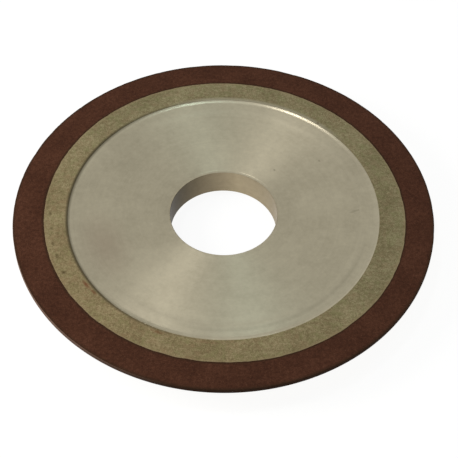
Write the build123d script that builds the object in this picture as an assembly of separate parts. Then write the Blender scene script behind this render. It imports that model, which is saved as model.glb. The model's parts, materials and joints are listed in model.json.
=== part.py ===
from build123d import *
import math
import os

# Flat-faced, dish-backed grinding wheel: a turned aluminium core that carries a moulded backing
# ring and a moulded abrasive rim. Millimetres. The origin is on the bore's axis, in the plane of
# the hub's back face, and +Z points towards the grinding face.

# Wheel
outer_diameter = 125.0
overall_thickness = 10.0
bore_diameter = 32.0
bore_chamfer = 0.5

# Moulded rings, side by side in the seat on the front of the core
abrasive_width = 8.8
abrasive_depth = 1.5
abrasive_edge_break = 0.15
backing_width = 7.3

# Dovetail grooves turned in the seat, one under each ring, that key the mouldings to the core
key_depth = 0.5
key_mouth_width = 1.4
key_flare = 0.2

# Front of the core: a face a little below the rings, and a raised band that coves up to the
# backing ring, which stands just proud of the cove's edge
face_recess = 0.6
band_width = 3.2
band_step = 0.1
cove_radius = 2.4
ring_proud = 0.05

# Back of the core: a flat hub, then a cone that rises to a narrow land under the abrasive rim
hub_diameter = 67.0
rim_overhang = 0.5
core_land = 0.4

# Radii that follow from the sizes above
bore_radius = bore_diameter / 2
outer_radius = outer_diameter / 2
backing_outer_radius = outer_radius - abrasive_width
seam_radius = backing_outer_radius - backing_width
core_outer_radius = outer_radius - rim_overhang
hub_radius = hub_diameter / 2
backing_key_radius = (seam_radius + backing_outer_radius) / 2
abrasive_key_radius = (backing_outer_radius + core_outer_radius) / 2

# Heights that follow from them
ring_face_z = overall_thickness
seat_z = ring_face_z - abrasive_depth
face_z = ring_face_z - face_recess
band_z = face_z + band_step

# The cove leaves the band level and curves up to the backing ring
cove_rise = min(cove_radius, ring_face_z - ring_proud - band_z)
cove_sweep = math.acos(1 - cove_rise / cove_radius)
band_outer_radius = seam_radius - cove_radius * math.sin(cove_sweep)
band_inner_radius = band_outer_radius - band_width


def key_points(middle_radius):
    """Section of one dovetail groove under the seat, from its inner side to its outer side."""
    mouth = key_mouth_width / 2
    root = mouth + key_flare
    root_z = seat_z - key_depth
    return [
        (middle_radius - mouth, seat_z),
        (middle_radius - root, root_z),
        (middle_radius + root, root_z),
        (middle_radius + mouth, seat_z),
    ]


def turned(section):
    """Solid of revolution about the bore's axis, from a section drawn as radius and height."""
    return revolve(Plane.XZ * section, axis=Axis.Z)


def make_core():
    """Aluminium core: bore, recessed face, band, cove, seat for the rings, land and back cone."""
    front = Polyline(
        (hub_radius, 0),
        (bore_radius + bore_chamfer, 0),
        (bore_radius, bore_chamfer),
        (bore_radius, face_z - bore_chamfer),
        (bore_radius + bore_chamfer, face_z),
        (band_inner_radius - band_step, face_z),
        (band_inner_radius, band_z),
        (band_outer_radius, band_z),
    )
    cove = JernArc(front @ 1, (1, 0), cove_radius, math.degrees(cove_sweep))
    seat_and_back = Polyline(
        cove @ 1,
        (seam_radius, seat_z),
        *key_points(backing_key_radius),
        *key_points(abrasive_key_radius),
        (core_outer_radius, seat_z),
        (core_outer_radius, seat_z - core_land),
        (hub_radius, 0),
    )
    return turned(make_face([*front.edges(), *cove.edges(), *seat_and_back.edges()]))


def make_backing_ring():
    """Backing ring: fills the seat from the cove's edge out to the abrasive rim."""
    outline = Polyline(
        (seam_radius, ring_face_z),
        (seam_radius, seat_z),
        *key_points(backing_key_radius),
        (backing_outer_radius, seat_z),
        (backing_outer_radius, ring_face_z),
        close=True,
    )
    return turned(make_face(outline.edges()))


def make_abrasive_rim():
    """Abrasive rim: from the backing ring out past the core's land, with its two corners broken."""
    outline = Polyline(
        (backing_outer_radius, ring_face_z),
        (backing_outer_radius, seat_z),
        *key_points(abrasive_key_radius),
        (outer_radius, seat_z),
        (outer_radius, ring_face_z),
        close=True,
    )
    section = make_face(outline.edges())
    outer_corners = section.vertices().group_by(Axis.X)[-1]
    return turned(chamfer(outer_corners, abrasive_edge_break))


nodes = {
    "core": make_core(),
    "backing_ring": make_backing_ring(),
    "abrasive_rim": make_abrasive_rim(),
}

os.makedirs("parts", exist_ok=True)
for name, solid in nodes.items():
    export_step(solid, f"parts/{name}.step")
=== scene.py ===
import json
import math

import bpy
from mathutils import Matrix, Vector, noise


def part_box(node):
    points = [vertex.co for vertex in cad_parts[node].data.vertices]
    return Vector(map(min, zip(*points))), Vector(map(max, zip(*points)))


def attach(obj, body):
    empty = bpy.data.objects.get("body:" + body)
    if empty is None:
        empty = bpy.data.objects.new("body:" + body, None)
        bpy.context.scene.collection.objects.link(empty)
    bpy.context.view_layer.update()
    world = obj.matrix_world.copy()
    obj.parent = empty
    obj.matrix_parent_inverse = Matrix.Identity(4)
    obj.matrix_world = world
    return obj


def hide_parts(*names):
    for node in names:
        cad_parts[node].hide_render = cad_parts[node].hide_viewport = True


# Grinding wheel: turned aluminium core, olive-grey backing ring and red-brown abrasive rim, lying
# on its back on a pale studio floor. Sizes of the wheel are in millimetres, like the lathe
# sections below, and MM turns them into Blender's metres.
MM = 0.001

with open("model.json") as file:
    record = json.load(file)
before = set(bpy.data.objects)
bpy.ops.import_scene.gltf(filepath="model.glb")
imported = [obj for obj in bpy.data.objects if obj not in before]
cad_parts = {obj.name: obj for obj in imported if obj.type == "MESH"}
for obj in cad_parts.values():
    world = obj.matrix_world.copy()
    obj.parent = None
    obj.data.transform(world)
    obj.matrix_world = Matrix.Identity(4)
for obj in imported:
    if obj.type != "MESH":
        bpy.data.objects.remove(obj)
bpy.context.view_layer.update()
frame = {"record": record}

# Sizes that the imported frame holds
mounts = {mount["name"]: mount for mount in frame["record"]["mounts"]}
BORE_RADIUS = mounts["bore"]["dims"]["r_mm"]
FACE_HEIGHT = mounts["front_face"]["pos_m"][2] / MM
RIM_RADIUS = min(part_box("abrasive_rim")[1].xy) / MM
RING_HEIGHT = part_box("abrasive_rim")[1].z / MM
BACKING_RADIUS = min(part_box("backing_ring")[1].xy) / MM
CORE_RADIUS = min(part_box("core")[1].xy) / MM
KEY_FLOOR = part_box("backing_ring")[0].z / MM

# Sizes of the wheel's section that no box or mount gives. KEY_MOUTH is half of a groove's width.
ABRASIVE_DEPTH = 1.5
BACKING_WIDTH = 7.3
HUB_RADIUS = 33.5
CORE_LAND = 0.4
BORE_CHAMFER = 0.5
KEY_MOUTH = 0.7
KEY_FLARE = 0.2
BAND_STEP = 0.1
STEP_RUN = 1.2
BAND_WIDTH = 3.2
COVE_RADIUS = 2.4
COVE_RISE = 0.45

# Radii of the rounded corners
HUB_EDGE = 0.4
BACK_BORE_EDGE = 0.08
BORE_EDGE = 0.12
FACE_EDGE = 0.4
LAND_EDGE = 0.1
RIM_EDGE_RADIUS = 0.15
RING_EDGE = 0.04

# Sizes that follow from them
SEAT_HEIGHT = RING_HEIGHT - ABRASIVE_DEPTH
SEAM_RADIUS = BACKING_RADIUS - BACKING_WIDTH
BACKING_KEY = (SEAM_RADIUS + BACKING_RADIUS) / 2
RIM_KEY = (BACKING_RADIUS + CORE_RADIUS) / 2
COVE_SWEEP = math.acos(1 - COVE_RISE / COVE_RADIUS)
BAND_HEIGHT = FACE_HEIGHT + BAND_STEP
BAND_OUTER = SEAM_RADIUS - COVE_RADIUS * math.sin(COVE_SWEEP)
BAND_INNER = BAND_OUTER - BAND_WIDTH

# How finely the lathe meshes are cut: round the wheel, in a rounded corner and in the cove, beside
# a corner, near the ends of a stretch and along its middle
SEGMENTS = 960
CORNER_STEPS = 3
COVE_STEPS = 8
HOLD = 0.03
END_STEP = 1.2
MIDDLE_STEP = 4.0

# Below this a length or an angle counts as none
TINY = 1e-6

# Name under which each point of a lathe mesh keeps the radius it had before wear
TRUE_RADIUS = "true_radius"


def rounded_section(corners):
    """Closed section of (radius, height) points from (radius, height, rounding) corners.

    Each corner becomes a small arc, with a holding point each side that keeps the flats flat.
    """
    points = []
    count = len(corners)
    for i, (r, z, rounding) in enumerate(corners):
        here = Vector((r, z))
        before = (Vector(corners[i - 1][:2]) - here).normalized()
        after = (Vector(corners[(i + 1) % count][:2]) - here).normalized()
        if rounding == 0:
            points.append(here)
            continue
        half = before.angle(after) / 2
        reach = rounding / math.tan(half)
        centre = here + (before + after).normalized() * rounding / math.sin(half)
        start = here + before * reach - centre
        end = here + after * reach - centre
        points.append(here + before * (reach + HOLD))
        for step in range(CORNER_STEPS + 1):
            share = step / CORNER_STEPS
            spoke = start.slerp(end, share) if start.angle(end) > TINY else start
            points.append(centre + spoke.normalized() * rounding)
        points.append(here + after * (reach + HOLD))
    return points


def subdivided(points):
    """The same closed section, cut finely by each corner and more coarsely between."""
    result = []
    for i, point in enumerate(points):
        following = points[(i + 1) % len(points)]
        length = (following - point).length
        middle = length - 2 * END_STEP
        if middle > END_STEP:
            pieces = math.ceil(middle / MIDDLE_STEP)
            cuts = [0] + [END_STEP + middle * k / pieces for k in range(pieces + 1)]
        else:
            pieces = max(1, math.ceil(length / END_STEP))
            cuts = [length * k / pieces for k in range(pieces)]
        result += [point.lerp(following, cut / length) for cut in cuts]
    return result


def lathe(name, section, wear, slots):
    """Ring-shaped mesh turned from a closed section.

    wear moves a point given as (radius, height, angle); slots maps a quad's middle radius and
    height to its material's index.
    """
    rows = len(section)
    vertices = []
    for j in range(SEGMENTS):
        angle = 2 * math.pi * j / SEGMENTS
        for point in section:
            r, z = wear(point.x, point.y, angle)
            vertices.append((r * math.cos(angle) * MM, r * math.sin(angle) * MM, z * MM))
    faces = []
    indices = []
    for i in range(rows):
        k = (i + 1) % rows
        middle = (section[i] + section[k]) / 2
        index = slots(middle.x, middle.y)
        for j in range(SEGMENTS):
            n = (j + 1) % SEGMENTS
            faces.append((j * rows + i, n * rows + i, n * rows + k, j * rows + k))
            indices.append(index)
    mesh = bpy.data.meshes.new(name)
    mesh.from_pydata(vertices, [], faces)
    mesh.polygons.foreach_set("material_index", indices)
    mesh.polygons.foreach_set("use_smooth", [True] * len(faces))
    radii = mesh.attributes.new(TRUE_RADIUS, "FLOAT", "POINT")
    radii.data.foreach_set("value", [point.x for point in section] * SEGMENTS)
    mesh.update()
    piece = bpy.data.objects.new(name, mesh)
    bpy.context.scene.collection.objects.link(piece)
    return piece


def ripple(angle, waves, seed):
    """Smooth noise round the wheel, from about -1 to 1, with that many waves a turn."""
    reach = waves / (2 * math.pi)
    place = Vector((math.cos(angle) * reach, math.sin(angle) * reach, seed))
    return noise.noise(place)


# The moulded boundary between the rings isn't a perfect circle: it is off centre, a little oval,
# and wavy. Each slow wave is (waves a turn, millimetres, degrees of its first crest), and each
# ripple is (waves a turn, seed, weight). It stays true below BOUNDARY_FLOOR.
BOUNDARY_DRIFT = ((1, 0.28, -1), (2, 0.26, -51), (3, 0.09, -19))
BOUNDARY_RIPPLES = ((90, 3.0, 1.0), (260, 8.0, 0.6))
BOUNDARY_WANDER = 0.12
BOUNDARY_REACH = 1.6
BOUNDARY_FLOOR = SEAT_HEIGHT + 0.5

# The rim's outer corner is worn. Each ripple is (waves a turn, seed, height below which it bites
# nothing).
CORNER_RIPPLES = ((70, 12.0, 0.0), (300, 17.0, 0.25))
CORNER_WEAR = 0.12
CORNER_REACH = 0.5


def drift(angle):
    """How far the rings' boundary is out from its true circle by its slow waves."""
    total = 0.0
    for waves, size, crest in BOUNDARY_DRIFT:
        total += size * math.cos(waves * (angle - math.radians(crest)))
    return total


def worn(r, z, angle):
    """Where wear and moulding put a point of the true section."""
    near = 1 - abs(r - BACKING_RADIUS) / BOUNDARY_REACH
    if near > 0 and z > BOUNDARY_FLOOR:
        wander = sum(weight * ripple(angle, waves, seed) for waves, seed, weight in BOUNDARY_RIPPLES)
        r += (drift(angle) + BOUNDARY_WANDER * wander) * near
    corner = 1 - math.hypot(RIM_RADIUS - r, RING_HEIGHT - z) / CORNER_REACH
    if corner > 0:
        bite = 0.0
        for waves, seed, least in CORNER_RIPPLES:
            bite += max(0.0, ripple(angle, waves, seed) - least)
        r -= CORNER_WEAR * bite * corner
        z -= CORNER_WEAR * bite * corner
    return r, z


def key_corners(middle):
    """Corners of one dovetail groove in the seat, from its inner side to its outer side."""
    return [
        (middle - KEY_MOUTH, SEAT_HEIGHT, 0),
        (middle - KEY_MOUTH - KEY_FLARE, KEY_FLOOR, 0),
        (middle + KEY_MOUTH + KEY_FLARE, KEY_FLOOR, 0),
        (middle + KEY_MOUTH, SEAT_HEIGHT, 0),
    ]


def colour(red, green, blue):
    """Linear colour from the 0 to 255 numbers that a screen shows."""
    channels = [c / 255 for c in (red, green, blue)]
    return [c / 12.92 if c < 0.04045 else ((c + 0.055) / 1.055) ** 2.4 for c in channels] + [1]


def direction(bearing):
    """Level unit direction at so many degrees round the wheel from +X."""
    turn = math.radians(bearing)
    return (math.cos(turn), math.sin(turn), 0.0)


# Where the Mix node keeps its share, its two colours and its result when it mixes colours
MIX_COLOUR_INPUTS = (0, 6, 7)
MIX_COLOUR_OUTPUT = 2


class Finish:
    """A procedural material, or the world's shader, while its nodes are put together."""

    def __init__(self, owner, output="ShaderNodeOutputMaterial"):
        owner.use_nodes = True
        self.owner = owner
        self.tree = owner.node_tree
        self.tree.nodes.clear()
        self.output = self.tree.nodes.new(output)

    def node(self, kind, sockets=None, **settings):
        """New node with its settings, and with a link or a plain value for each socket given."""
        made = self.tree.nodes.new(kind)
        for name, value in settings.items():
            setattr(made, name, value)
        for name, value in (sockets or {}).items():
            if isinstance(value, bpy.types.NodeSocket):
                self.tree.links.new(value, made.inputs[name])
            else:
                made.inputs[name].default_value = value
        return made

    def math(self, operation, *values):
        sockets = dict(enumerate(values))
        return self.node("ShaderNodeMath", sockets, operation=operation).outputs[0]

    def product(self, first, *others):
        """All the values multiplied together."""
        for value in others:
            first = self.math("MULTIPLY", first, value)
        return first

    def blend(self, *parts):
        """Sum of values given as (weight, value), each times its weight."""
        terms = [self.math("MULTIPLY", value, weight) for weight, value in parts]
        total = terms[0]
        for term in terms[1:]:
            total = self.math("ADD", total, term)
        return total

    def place(self):
        """The surface point in millimetres."""
        where = self.node("ShaderNodeTexCoord").outputs["Object"]
        scaled = self.node("ShaderNodeVectorMath", {0: where, "Scale": 1 / MM}, operation="SCALE")
        return scaled.outputs[0]

    def polar(self, place):
        """The true radius in millimetres, and the level direction straight out from the axis."""
        radius = self.node("ShaderNodeAttribute", attribute_name=TRUE_RADIUS).outputs["Fac"]
        flat = self.node("ShaderNodeVectorMath", {0: place, 1: (1, 1, 0)}, operation="MULTIPLY")
        outwards = self.node("ShaderNodeVectorMath", {0: flat.outputs[0]}, operation="NORMALIZE")
        return radius, outwards.outputs[0]

    def around(self, outwards, bearing, faint, full, strength=1.0):
        """Strong on one side of the wheel and none on the other.

        It follows the cosine of the angle from the bearing, in degrees: it starts where that is
        faint, and has the whole strength where it is full.
        """
        sockets = {0: outwards, 1: direction(bearing)}
        cosine = self.node("ShaderNodeVectorMath", sockets, operation="DOT_PRODUCT").outputs["Value"]
        return self.span(cosine, faint, full, 0.0, strength)

    def grooves(self, place, radius, outwards, fineness, sway):
        """Coordinates that change quickly with radius and height and slowly round the wheel."""
        height = self.node("ShaderNodeSeparateXYZ", {0: place}).outputs["Z"]
        across = self.math("MULTIPLY", self.math("ADD", radius, height), fineness)
        along = self.node("ShaderNodeVectorMath", {0: outwards, "Scale": sway}, operation="SCALE")
        parts = self.node("ShaderNodeSeparateXYZ", {0: along.outputs[0]}).outputs
        sockets = {"X": parts["X"], "Y": parts["Y"], "Z": across}
        return self.node("ShaderNodeCombineXYZ", sockets).outputs[0]

    def between(self, value, origin, steps):
        """0 up to the first step from the origin, 1 from the second to the third, 0 past the fourth."""
        start, full, wane, end = (origin + step for step in steps)
        return self.product(self.span(value, start, full), self.span(value, wane, end, 1.0, 0.0))

    def spot(self, place, bearing, radius, across, along, turn=0.0, soft=0.6):
        """1 inside an oval spot, fading to 0 at its edge.

        across and along are its half widths out from the axis and round the wheel, in millimetres,
        before it is turned by so many degrees.
        """
        middle = Vector(direction(bearing)) * radius
        flat = self.node("ShaderNodeVectorMath", {0: place, 1: (1, 1, 0)}, operation="MULTIPLY")
        sockets = {0: flat.outputs[0], 1: middle}
        offset = self.node("ShaderNodeVectorMath", sockets, operation="SUBTRACT").outputs[0]
        squares = []
        for heading, reach in ((bearing + turn, across), (bearing + turn + 90, along)):
            axis = Vector(direction(heading)) / reach
            made = self.node("ShaderNodeVectorMath", {0: offset, 1: axis}, operation="DOT_PRODUCT")
            squares.append(self.math("POWER", self.math("ABSOLUTE", made.outputs["Value"]), 2.0))
        distance = self.math("SQRT", self.math("ADD", *squares))
        return self.span(distance, 1 - soft, 1.0, 1.0, 0.0)

    def noise(self, place, scale, detail, roughness):
        """Noise from 0 to 1, its lumps 1 / scale of a unit of the place across."""
        sockets = {"Vector": place, "Scale": scale, "Detail": detail, "Roughness": roughness}
        return self.node("ShaderNodeTexNoise", sockets).outputs["Fac"]

    def grains(self, place, scale):
        """0 at the middle of each grain, rising to its edge."""
        return self.node("ShaderNodeTexVoronoi", {"Vector": place, "Scale": scale}).outputs["Distance"]

    def span(self, value, low, high, to_low=0.0, to_high=1.0):
        """to_low up to the value low, to_high from the value high, and in even steps between."""
        sockets = {"Value": value, "From Min": low, "From Max": high}
        sockets.update({"To Min": to_low, "To Max": to_high})
        return self.node("ShaderNodeMapRange", sockets).outputs[0]

    def ramp(self, share, *stops):
        """Colour that goes through the stops, each given as (share, colour)."""
        made = self.node("ShaderNodeValToRGB", {"Fac": share})
        elements = made.color_ramp.elements
        while len(elements) < len(stops):
            elements.new(0.5)
        for element, (position, shade) in zip(elements, stops):
            element.position = position
            element.color = shade
        return made.outputs["Color"]

    def mix(self, share, first, second, blend="MIX"):
        """The second colour over the first, by so great a share."""
        made = self.node("ShaderNodeMix", data_type="RGBA", blend_type=blend)
        for index, value in zip(MIX_COLOUR_INPUTS, (share, first, second)):
            if isinstance(value, bpy.types.NodeSocket):
                self.tree.links.new(value, made.inputs[index])
            else:
                made.inputs[index].default_value = value
        return made.outputs[MIX_COLOUR_OUTPUT]

    def bump(self, height, depth):
        """Relief of that depth in millimetres, from a height of 0 to 1."""
        sockets = {"Height": height, "Distance": depth * MM, "Strength": 1.0}
        return self.node("ShaderNodeBump", sockets).outputs[0]

    def surface(self, sockets):
        """Ends the material with one shader that has those sockets."""
        shader = self.node("ShaderNodeBsdfPrincipled", sockets)
        self.tree.links.new(shader.outputs[0], self.output.inputs["Surface"])
        return self.owner


# Colours, as the numbers that a screen shows
METAL_DULL = colour(182, 173, 148)
METAL_BRIGHT = colour(204, 195, 168)
# Painted dimmer reflection for the -X side of the metal face and band
FACE_DIM_REFLECTION = colour(170, 151, 130)
PIT = colour(90, 84, 68)
BORE_DULL = colour(160, 146, 118)
BORE_BRIGHT = colour(178, 163, 134)
# Painted shade for the bore wall's -X side
BORE_PAINTED_SHADE = colour(58, 50, 34)
# Painted shade with some grime, for the dark line along the joint on the -X side
JOINT_SHADE_AND_GRIME = colour(70, 63, 44)
OLIVE_DARK = colour(102, 93, 63)
OLIVE_MIDDLE = colour(131, 121, 89)
OLIVE_LIGHT = colour(160, 151, 117)
OLIVE_SPECK = colour(82, 74, 48)
GREEN_PATCH = colour(126, 128, 84)
BROWN_PATCH = colour(140, 120, 90)
TAN_EDGE = colour(150, 130, 98)
# Grey metal dust with painted light, for the backing ring's inner edge on the +Y side
METAL_DUST_AND_LIGHT = colour(160, 153, 130)
RUST = colour(112, 70, 44)
GRIT = colour(78, 66, 38)
BROWN_DARK = colour(57, 32, 21)
BROWN_MIDDLE = colour(74, 44, 30)
BROWN_LIGHT = colour(92, 58, 42)
BROWN_SPECK = colour(108, 76, 58)
RIM_EDGE = colour(48, 34, 20)
# Painted light with some dust, for the rim's outer wall on the -X side
WALL_DUST_AND_LIGHT = colour(150, 122, 108)

# Painted warm light: tint that the backing ring's colour is multiplied by on its -X and -Y side
WARM_LIGHT_TINT = (1.10, 1.01, 0.97, 1)

# What the turned metal's variation is made of: broad rings and smudges together, mottle and lines
BROAD_SHARE = 0.52
MOTTLE_SHARE = 0.34
LINE_SHARE = 0.14

# The range of that sum over which the metal goes from dull and rough to bright and smooth, and how
# far its roughness swings either way
METAL_RANGE = (0.36, 0.64)
ROUGHNESS_SWING = 0.03

# Turns the sheen's long way to lie across the tool lines
QUARTER_TURN = 0.25

# Depth of the moulded rings' relief, in millimetres
GRAIN_DEPTH = 0.06


def turned_metal(name, dull, bright, roughness, anisotropy, line_depth, marks=(), rings=0.1):
    """Turned aluminium: a brushed sheen round the axis, fine tool lines, smudges and marks.

    line_depth is in millimetres, and rings is how strongly the tool's broader rings show, from 0 to
    BROAD_SHARE.
    Each mark is a function that takes the finish, the place, the radius, the direction out from the
    axis and the colour so far, and gives the marked colour.
    """
    f = Finish(bpy.data.materials.new(name))
    place = f.place()
    radius, outwards = f.polar(place)
    lines = f.noise(f.grooves(place, radius, outwards, 7.0, 1.2), 1.0, 4.0, 0.65)
    bands = f.noise(f.grooves(place, radius, outwards, 0.9, 0.8), 1.0, 3.0, 0.6)
    smudges = f.noise(place, 0.07, 4.0, 0.6)
    mottle = f.noise(place, 0.6, 4.0, 0.75)
    share = f.blend(
        (rings, bands),
        (BROAD_SHARE - rings, smudges),
        (MOTTLE_SHARE, mottle),
        (LINE_SHARE, lines),
    )
    low, high = METAL_RANGE
    base = f.ramp(share, (low, dull), (high, bright))
    for mark in marks:
        base = mark(f, place, radius, outwards, base)
    tangent = f.node("ShaderNodeTangent", direction_type="RADIAL", axis="Z").outputs[0]
    return f.surface({
        "Base Color": base,
        "Metallic": 1.0,
        "Roughness": f.span(share, low, high, roughness + ROUGHNESS_SWING, roughness - ROUGHNESS_SWING),
        "Anisotropic": anisotropy,
        "Anisotropic Rotation": QUARTER_TURN,
        "Tangent": tangent,
        "Normal": f.bump(lines, line_depth),
    })


def moulded(name, dark, middle, light, speck, specular, marks=()):
    """Pressed and ground resin mix: mottled, finely grained and matt."""
    f = Finish(bpy.data.materials.new(name))
    place = f.place()
    radius, outwards = f.polar(place)
    clouds = f.noise(place, 0.12, 5.0, 0.65)
    mottle = f.noise(place, 1.0, 3.0, 0.7)
    grain = f.noise(place, 3.2, 2.0, 0.6)
    share = f.blend((0.25, clouds), (0.37, mottle), (0.38, grain))
    base = f.ramp(share, (0.39, dark), (0.5, middle), (0.61, light))
    specks = f.span(f.grains(place, 1.6), 0.12, 0.2, 1.0, 0.0)
    base = f.mix(f.product(specks, 0.5), base, speck)
    for mark in marks:
        base = mark(f, place, radius, outwards, base)
    return f.surface({
        "Base Color": base,
        "Roughness": f.span(grain, 0.3, 0.7, 0.8, 0.92),
        "Specular IOR Level": specular,
        "Normal": f.bump(f.blend((0.7, grain), (0.3, mottle)), GRAIN_DEPTH),
    })


# Where each mark lies round the wheel: bearing, faint, full and strength, as in Finish.around
# The joint's painted shade lies on the -X side
JOINT_SHADE_SIDE = (182, 0.1, 0.8, 0.85)
TOOL_MARK_SIDE = (300, 0.6, 0.85, 0.12)
# The bore's painted shade lies on the -X side
BORE_SHADE_SIDE = (172, -0.1, 1.0, 0.95)
# The backing ring's painted warm light lies towards -X and -Y
WARM_LIGHT_SIDE = (230, -0.2, 1.0, 1.0)
# The backing ring's painted lit edge and metal dust lie on the +Y side
LIT_EDGE_SIDE = (75, 0.78, 0.92, 0.85)
# The rim wall's painted light and dust lie on the -X side
WALL_LIGHT_SIDE = (198, 0.5, 0.95, 0.65)

# Where the marks that run across a joint or a band start, are full, wane and end, in millimetres
# out from the joint's or the band's own radius
# Where the joint's painted shade starts, is full, wanes and ends
JOINT_SHADE_STEPS = (-0.8, 0.1, 0.3, 0.9)
TOOL_MARK_STEPS = (0.2, 1.0, 1.2, 2.0)


def joint_shade_and_grime(f, place, radius, outwards, base):
    """Painted shade along the joint between the metal and the backing ring, on the -X side, with some
    grime.
    """
    across = f.between(radius, SEAM_RADIUS, JOINT_SHADE_STEPS)
    return f.mix(f.product(across, f.around(outwards, *JOINT_SHADE_SIDE)), base, JOINT_SHADE_AND_GRIME)


def dim_reflection(f, place, radius, outwards, base):
    """Painted dimmer, pinker reflection: a soft patch on the -X side of the metal, over the face and
    the band.
    """
    dim_patch = f.spot(place, 200, 37, 8.5, 15, soft=1.0)
    return f.mix(f.product(dim_patch, 0.45), base, FACE_DIM_REFLECTION)


# Pits and scratches in the face: degrees, radius, half width out and round, turn and strength
PITS_AND_SCRATCHES = (
    (47.6, 22.9, 0.4, 0.5, 0, 0.4),
    (35.4, 36.0, 0.4, 0.5, 0, 0.35),
    (1.6, 39.9, 2.2, 0.35, 12, 0.2),
    (0.6, 38.6, 1.5, 0.3, 14, 0.2),
)


def face_marks(f, place, radius, outwards, base):
    """Pits and scratches in the face."""
    for bearing, reach, across, along, turn, strength in PITS_AND_SCRATCHES:
        mark = f.spot(place, bearing, reach, across, along, turn)
        base = f.mix(f.product(mark, strength), base, PIT)
    return base


def tool_mark(f, place, radius, outwards, base):
    """Faint darker ring that a tool left in the band, on the -Y side."""
    line = f.between(radius, BAND_INNER, TOOL_MARK_STEPS)
    return f.mix(f.product(line, f.around(outwards, *TOOL_MARK_SIDE)), base, PIT)


def bore_shade(f, place, radius, outwards, base):
    """Painted shade that darkens the bore's wall on its -X side."""
    return f.mix(f.around(outwards, *BORE_SHADE_SIDE), base, BORE_PAINTED_SHADE)


def patches(f, place, radius, outwards, base):
    """Greener and browner patches a few millimetres across."""
    tint = f.noise(place, 0.45, 4.0, 0.75)
    base = f.mix(f.span(tint, 0.5, 0.66, 0.0, 0.4), base, GREEN_PATCH)
    return f.mix(f.span(tint, 0.34, 0.5, 0.4, 0.0), base, BROWN_PATCH)


def painted_warm_light(f, place, radius, outwards, base):
    """Painted warm light: the backing ring's colour goes lighter and from olive to tan towards -X and
    -Y.
    """
    return f.mix(f.around(outwards, *WARM_LIGHT_SIDE), base, WARM_LIGHT_TINT, "MULTIPLY")


def resin_rich_edge(f, place, radius, outwards, base):
    """Thin tan line where the backing ring meets the abrasive rim."""
    edge = f.span(radius, BACKING_RADIUS - 0.7, BACKING_RADIUS - 0.1)
    return f.mix(f.product(edge, 0.45), base, TAN_EDGE)


def lit_edge_and_metal_dust(f, place, radius, outwards, base):
    """Grey metal dust in the backing ring's inner edge on the +Y side, with painted light where that
    edge faces the lamps.
    """
    across = f.span(radius, SEAM_RADIUS + 0.3, SEAM_RADIUS + 1.3, 1.0, 0.0)
    return f.mix(f.product(across, f.around(outwards, *LIT_EDGE_SIDE)), base, METAL_DUST_AND_LIGHT)


# Stains and specks on the backing ring: degrees, radius, half width out and round, and strength
STAINS = (
    (215.6, 47.8, 0.8, 2.3, 1.0),
    (219.8, 47.6, 0.6, 1.9, 0.8),
    (247.7, 47.4, 0.7, 2.4, 0.7),
    (265.0, 47.4, 0.5, 4.5, 0.35),
)
SPECKS = (
    (182.0, 51.5, 0.6, 1.3, 0.7),
    (188.4, 51.2, 0.6, 0.7, 0.7),
    (195.0, 51.4, 0.6, 1.3, 0.7),
    (200.2, 51.3, 0.7, 1.1, 0.8),
    (207.4, 51.3, 0.9, 1.0, 1.0),
    (210.5, 51.0, 0.5, 0.7, 0.35),
    (172.0, 49.4, 0.4, 1.2, 0.25),
    (51.0, 46.9, 0.5, 0.5, 1.0),
)


def olive_marks(f, place, radius, outwards, base):
    """Reddish stains and dark specks on the backing ring, broken up by its grain."""
    broken = f.span(f.noise(place, 1.2, 3.0, 0.7), 0.38, 0.52, 0.5, 1.0)
    for spots, shade in ((STAINS, RUST), (SPECKS, GRIT)):
        for bearing, reach, across, along, strength in spots:
            spot = f.spot(place, bearing, reach, across, along, soft=0.9)
            base = f.mix(f.product(spot, broken, strength), base, shade)
    return base


def rim_edges(f, place, radius, outwards, base):
    """The abrasive rim is darker along its two edges, and its wall has painted light with some dust on
    the -X side.
    """
    inner = f.span(radius, BACKING_RADIUS + 0.25, BACKING_RADIUS + 0.8, 1.0, 0.0)
    outer = f.span(radius, RIM_RADIUS - 1.0, RIM_RADIUS - 0.2)
    base = f.mix(f.product(f.math("MAXIMUM", inner, outer), 0.65), base, RIM_EDGE)
    # Painted light with some dust on the wall's -X side
    wall = f.span(radius, RIM_RADIUS - 0.15, RIM_RADIUS - 0.05)
    return f.mix(f.product(wall, f.around(outwards, *WALL_LIGHT_SIDE)), base, WALL_DUST_AND_LIGHT)


# The core's finishes, in the order of their slots. The depths of the tool lines are in millimetres.
FACE, BAND, COVE, BORE, BACK = range(5)
metal = (METAL_DULL, METAL_BRIGHT)
bore_metal = (BORE_DULL, BORE_BRIGHT)
FINE_LINES = 0.0015
BORE_LINES = 0.004
BACK_LINES = 0.010
core_finishes = [
    turned_metal("turned_face", *metal, 0.42, 0.8, FINE_LINES, (dim_reflection, face_marks)),
    turned_metal("turned_band", *metal, 0.40, 0.8, FINE_LINES, (dim_reflection, tool_mark)),
    turned_metal("turned_cove", *metal, 0.32, 0.6, FINE_LINES, (joint_shade_and_grime,)),
    turned_metal("bored_wall", *bore_metal, 0.45, 0.5, BORE_LINES, (bore_shade,)),
    turned_metal("turned_back", *metal, 0.42, 0.75, BACK_LINES, rings=0.35),
]
olive = moulded(
    "backing_resin",
    OLIVE_DARK,
    OLIVE_MIDDLE,
    OLIVE_LIGHT,
    OLIVE_SPECK,
    specular=0.25,
    marks=(patches, painted_warm_light, resin_rich_edge, lit_edge_and_metal_dust, joint_shade_and_grime, olive_marks),
)
brown = moulded(
    "abrasive_resin",
    BROWN_DARK,
    BROWN_MIDDLE,
    BROWN_LIGHT,
    BROWN_SPECK,
    specular=0.15,
    marks=(rim_edges,),
)

# How far outside its own radius or height a quad's middle still counts as the bore or the face
BORE_MARGIN = 0.05
HEIGHT_MARGIN = 0.1


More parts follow.
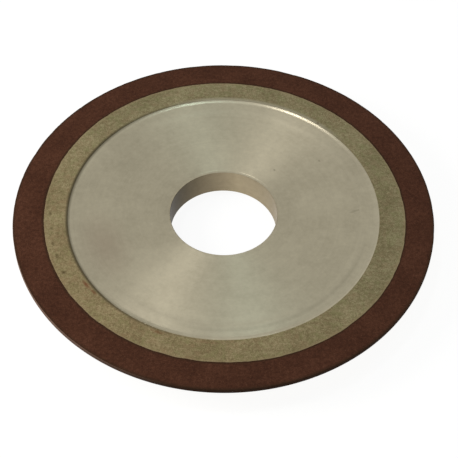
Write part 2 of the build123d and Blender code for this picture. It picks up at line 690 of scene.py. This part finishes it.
def core_slot(r, z):
    """Which finish a quad of the core gets, from its middle."""
    if r < BORE_RADIUS + BORE_MARGIN:
        return BORE
    if z > FACE_HEIGHT - BORE_CHAMFER - HEIGHT_MARGIN and r < BAND_INNER - STEP_RUN:
        return FACE
    if z > FACE_HEIGHT - HEIGHT_MARGIN and r <= BAND_OUTER:
        return BAND
    if z > FACE_HEIGHT and r <= SEAM_RADIUS:
        return COVE
    return BACK


def cove_points():
    """The arc from the band up to the backing ring."""
    centre = Vector((BAND_OUTER, BAND_HEIGHT + COVE_RADIUS))
    sweep = [COVE_SWEEP * k / COVE_STEPS for k in range(COVE_STEPS + 1)]
    return [centre + COVE_RADIUS * Vector((math.sin(a), -math.cos(a))) for a in sweep]


def core_section():
    """Core's section, from the hub's outer corner inwards, through the bore and over the front."""
    corners = rounded_section([
        (HUB_RADIUS, 0, HUB_EDGE),
        (BORE_RADIUS + BORE_CHAMFER, 0, BACK_BORE_EDGE),
        (BORE_RADIUS, BORE_CHAMFER, BORE_EDGE),
        (BORE_RADIUS, FACE_HEIGHT - BORE_CHAMFER, BORE_EDGE),
        (BORE_RADIUS + BORE_CHAMFER, FACE_HEIGHT, FACE_EDGE),
        (BAND_INNER - STEP_RUN, FACE_HEIGHT, 0),
        (BAND_INNER, BAND_HEIGHT, 0),
        (BAND_OUTER, BAND_HEIGHT, 0),
        (SEAM_RADIUS, SEAT_HEIGHT, 0),
        *key_corners(BACKING_KEY),
        *key_corners(RIM_KEY),
        (CORE_RADIUS, SEAT_HEIGHT, 0),
        (CORE_RADIUS, SEAT_HEIGHT - CORE_LAND, LAND_EDGE),
    ])
    cove_foot = Vector((BAND_OUTER, BAND_HEIGHT))
    place = next(i for i, corner in enumerate(corners) if (corner - cove_foot).length < TINY)
    return subdivided(corners[:place] + cove_points() + corners[place + 1:])


def ring_section(inner, outer, key, outer_edges):
    """Section of a moulded ring that fills the seat between two radii."""
    return subdivided(rounded_section([
        (inner, RING_HEIGHT, RING_EDGE),
        (inner, SEAT_HEIGHT, 0),
        *key_corners(key),
        (outer, SEAT_HEIGHT, outer_edges),
        (outer, RING_HEIGHT, outer_edges),
    ]))


def one_slot(r, z):
    """Every quad of a moulded ring gets its one finish."""
    return 0


def dress(piece, node, finishes):
    """Gives a piece its finishes and puts it in the place of a CAD node."""
    for finish in finishes:
        piece.data.materials.append(finish)
    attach(piece, "root")
    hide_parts(node)


core = lathe("core_turned", core_section(), worn, core_slot)
dress(core, "core", core_finishes)

backing = lathe(
    "backing_ring_moulded",
    ring_section(SEAM_RADIUS, BACKING_RADIUS, BACKING_KEY, RING_EDGE),
    worn,
    one_slot,
)
dress(backing, "backing_ring", [olive])

rim = lathe(
    "abrasive_rim_moulded",
    ring_section(BACKING_RADIUS, RIM_RADIUS, RIM_KEY, RIM_EDGE_RADIUS),
    worn,
    one_slot,
)
dress(rim, "abrasive_rim", [brown])


# The studio's floor, in metres, and its levels. Where it is seen, a strength of 1 is white.
# SKY_REACH is the height of a ray's direction, from 0 to 1, where the sky gets its overhead level.
FLOOR_SIDE = 6.0
FLOOR_GLOW = 0.90
FLOOR_PAINT = colour(112, 112, 111)
WHITE = (1, 1, 1, 1)
SKY_HORIZON = 1.0
SKY_ZENITH = 0.61
SKY_REACH = 0.4
SKY_LIGHT = 0.384


def seen_rays(f):
    """1 for rays that show the background: from the camera, off gloss and through glass."""
    path = f.node("ShaderNodeLightPath").outputs
    seen = f.math("MAXIMUM", path["Is Camera Ray"], path["Is Glossy Ray"])
    return f.math("MAXIMUM", seen, path["Is Transmission Ray"])


def studio_floor():
    """Pale floor that shows white with the wheel's soft shadow, and nothing from below."""
    f = Finish(bpy.data.materials.new("studio_floor"))
    paint = f.node("ShaderNodeBsdfDiffuse", {"Color": FLOOR_PAINT}).outputs[0]
    glow = f.node("ShaderNodeEmission", {"Strength": FLOOR_GLOW}).outputs[0]
    clear = f.node("ShaderNodeBsdfTransparent").outputs[0]
    both = f.node("ShaderNodeAddShader", {0: paint, 1: glow}).outputs[0]
    pale = f.node("ShaderNodeMixShader", {0: seen_rays(f), 1: paint, 2: both}).outputs[0]
    below = f.node("ShaderNodeNewGeometry").outputs["Backfacing"]
    shader = f.node("ShaderNodeMixShader", {0: below, 1: pale, 2: clear}).outputs[0]
    f.tree.links.new(shader, f.output.inputs["Surface"])
    mesh = bpy.data.meshes.new("studio_floor")
    half = FLOOR_SIDE / 2
    corners = [(-half, -half, 0), (half, -half, 0), (half, half, 0), (-half, half, 0)]
    mesh.from_pydata(corners, [], [(0, 1, 2, 3)])
    mesh.materials.append(f.owner)
    floor = bpy.data.objects.new("studio_floor", mesh)
    bpy.context.scene.collection.objects.link(floor)


def studio_sky():
    """World: where it is seen, white at the horizon and a little greyer overhead; a soft even light."""
    f = Finish(bpy.data.worlds.new("studio"), "ShaderNodeOutputWorld")
    ray = f.node("ShaderNodeTexCoord").outputs["Generated"]
    height = f.node("ShaderNodeSeparateXYZ", {0: ray}).outputs["Z"]
    shade = f.span(height, 0.0, SKY_REACH, SKY_HORIZON, SKY_ZENITH)
    backdrop = f.node("ShaderNodeBackground", {"Color": WHITE, "Strength": shade}).outputs[0]
    light = f.node("ShaderNodeBackground", {"Color": WHITE, "Strength": SKY_LIGHT}).outputs[0]
    both = f.node("ShaderNodeMixShader", {0: seen_rays(f), 1: light, 2: backdrop}).outputs[0]
    f.tree.links.new(both, f.output.inputs["Surface"])
    bpy.context.scene.world = f.owner


def lamp(name, towards, strength, shade, spread):
    """Distant soft lamp that shines from the direction towards, as wide as spread degrees."""
    data = bpy.data.lights.new(name, "SUN")
    data.energy = strength
    data.color = shade
    data.angle = math.radians(spread)
    made = bpy.data.objects.new(name, data)
    made.rotation_mode = "QUATERNION"
    made.rotation_quaternion = Vector(towards).to_track_quat("Z", "Y")
    bpy.context.scene.collection.objects.link(made)


def softbox(name, place, watts, shade, side):
    """Square soft lamp of that side, in metres, that shines at the wheel from the place.

    It is left out of the metal's reflections, and lights the matt surfaces alone.
    """
    data = bpy.data.lights.new(name, "AREA")
    data.energy = watts
    data.color = shade
    data.size = side
    made = bpy.data.objects.new(name, data)
    made.location = place
    made.rotation_mode = "QUATERNION"
    made.rotation_quaternion = Vector(place).to_track_quat("Z", "Y")
    made.visible_glossy = False
    bpy.context.scene.collection.objects.link(made)


studio_floor()
studio_sky()

# Each distant lamp makes two streaks in the turned metal, one on each side of the bore
KEY_SHADE = (0.98, 0.97, 1.0)
WINDOW_SHADE = (0.66, 0.93, 1.0)
SOFTBOX_SHADE = (1.0, 0.96, 0.90)
lamp("key", (-0.30, 0.09, 0.95), strength=0.31, shade=KEY_SHADE, spread=9)
lamp("window", (0.12, 0.10, 0.988), strength=0.13, shade=WINDOW_SHADE, spread=9)
softbox("side_softbox", (-0.36, -0.02, 0.22), watts=1.1, shade=SOFTBOX_SHADE, side=0.2)

# Camera, as measured in the photograph's frame of 458 by 458 pixels. Distances on the wheel are in
# millimetres, and so is the sensor; the clip start is in metres.
PHOTO_SIDE = 458
FOCAL_PIXELS = 1249.7
CAMERA_DISTANCE = 372.4
CAMERA_ELEVATION = math.radians(50.05)
CAMERA_ROLL = math.radians(0.89)
CAMERA_AIM = Vector((1.62, -7.11, RING_HEIGHT))
SENSOR_WIDTH = 36.0
CLIP_START = 0.01


def camera():
    """The scene's camera, above the wheel on the -Y side, turned to its aim and rolled."""
    data = bpy.data.cameras.new("camera")
    data.sensor_width = SENSOR_WIDTH
    data.lens = data.sensor_width * FOCAL_PIXELS / PHOTO_SIDE
    data.clip_start = CLIP_START
    made = bpy.data.objects.new("camera", data)
    back = Vector((0, -math.cos(CAMERA_ELEVATION), math.sin(CAMERA_ELEVATION)))
    place = Vector((0, 0, RING_HEIGHT)) + back * CAMERA_DISTANCE
    turn = (CAMERA_AIM - place).to_track_quat("-Z", "Y").to_matrix().to_4x4()
    made.matrix_world = Matrix.Translation(place * MM) @ turn @ Matrix.Rotation(CAMERA_ROLL, 4, "Z")
    bpy.context.scene.collection.objects.link(made)
    bpy.context.scene.camera = made


camera()

scene = bpy.context.scene
scene.view_settings.view_transform = "Standard"
